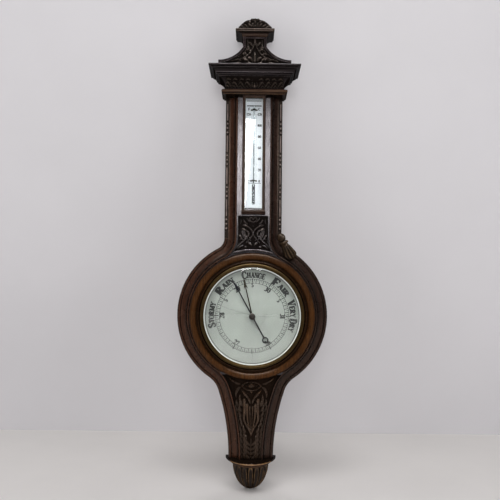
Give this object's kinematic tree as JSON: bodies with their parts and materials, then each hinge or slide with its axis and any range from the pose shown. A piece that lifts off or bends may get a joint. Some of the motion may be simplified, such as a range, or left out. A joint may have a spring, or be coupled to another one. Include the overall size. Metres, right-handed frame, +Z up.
{
  "type": "banjo barometer",
  "caption": "Carved dark oak banjo barometer with an aneroid dial, a set hand on the glass, a boxed thermometer and a half-round shelf.",
  "frame": {"origin": "centre of the hanger's hole at the back face", "axes": "+Z up along the case, +Y towards the wall, so that the dial faces -Y"},
  "size_m": [0.306, 0.0708, 0.9527],
  "materials": {
    "oak_dark": "dark stained oak, waxed, worn at the edges",
    "oak_brown": "brown stained oak, waxed",
    "oak_ring": "turned red-brown oak, polished",
    "brass": "dull aged brass",
    "steel": "bright steel",
    "black_steel": "blued steel, nearly black",
    "dial_white": "white glazed plate with fine cracks",
    "clear_glass": "clear glass",
    "mercury": "bright liquid metal"
  },
  "bodies": {
    "case": {"back_board": "oak_dark", "raised_panel": "oak_dark", "left_frame_moulding": "oak_brown", "right_frame_moulding": "oak_brown", "left_bead_strip": "oak_brown", "right_bead_strip": "oak_brown", "upper_carving": "oak_brown", "lower_carving": "oak_brown", "shoulder_carving": "oak_brown", "dial_ring": "oak_ring", "necking_moulding": "oak_brown", "frieze": "oak_dark", "cornice": "oak_dark", "pediment_panel": "oak_dark", "pediment_carving": "oak_brown", "pediment_cap": "oak_dark", "crest": "oak_dark", "shelf": "oak_brown", "base_boss": "oak_dark", "hanger_plate": "brass", "hanger_screws": "steel", "movement_pan": "brass", "pan_screws": "steel", "dial_plate": "dial_white", "sight_ring": "brass", "dial_glass": "clear_glass", "bezel": "brass", "base_plate": "brass", "plate_screws": "steel", "capsule": "steel", "spring_foot": "brass", "main_spring": "steel", "spring_clamp": "brass", "clamp_screws": "steel", "rocker_bracket": "brass", "chain": "steel", "arbor_cock": "brass", "cock_pillars": "brass", "hairspring": "steel", "thermometer_box": "oak_brown", "thermometer_sill": "oak_brown", "thermometer_glass": "clear_glass", "thermometer_plate": "dial_white", "thermometer_tube": "clear_glass", "thermometer_column": "mercury", "tube_clips": "brass"},
    "hand": {"pressure_hand": "black_steel", "arbor": "steel"},
    "marker": {"set_hand": "brass", "set_spindle": "brass", "set_knob": "black_steel"},
    "rocker": {"rocking_shaft": "steel"},
    "lever": {"main_lever": "brass", "lever_screws": "steel", "lever_link": "steel"},
    "post": {"capsule_post": "brass"},
    "adjuster": {"adjusting_screw": "brass"}
  },
  "joints": [
    {"name": "pressure_hand_turn", "type": "hinge", "parent": "case", "child": "hand", "pos_m": [0, -0.034, -0.484], "axis": [0, 1, 0], "range_deg": [-61, 119], "deforming": ["chain", "hairspring"]},
    {"name": "rocker_turn", "type": "hinge", "parent": "case", "child": "rocker", "pos_m": [0, -0.014, -0.434], "axis": [1, 0, 0], "range_deg": [-12.5, 24.2]},
    {"name": "lever_tilt", "type": "hinge", "parent": "case", "child": "lever", "pos_m": [0, -0.0127, -0.518], "axis": [-1, 0, 0], "range_deg": [-0.8, 1.54], "deforming": ["main_spring"]},
    {"name": "post_slide", "type": "slide", "parent": "case", "child": "post", "axis": [0, 1, 0], "range_m": [-0.00047, 0.00091], "deforming": ["capsule"]},
    {"name": "set_hand_turn", "type": "hinge", "parent": "case", "child": "marker", "pos_m": [0, -0.042, -0.484], "axis": [0, 1, 0], "continuous": true},
    {"name": "adjusting_screw_turn", "type": "hinge", "parent": "case", "child": "adjuster", "pos_m": [0, -0.004, -0.529], "axis": [0, 1, 0], "range_deg": [-180, 180]}
  ],
  "couplings": [
    {"joint": "rocker_turn", "follows": "pressure_hand_turn", "ratio": 0.20202},
    {"joint": "lever_tilt", "follows": "pressure_hand_turn", "ratio": 0.012786},
    {"joint": "post_slide", "follows": "pressure_hand_turn", "m_per_rad": 0.00043473}
  ]
}
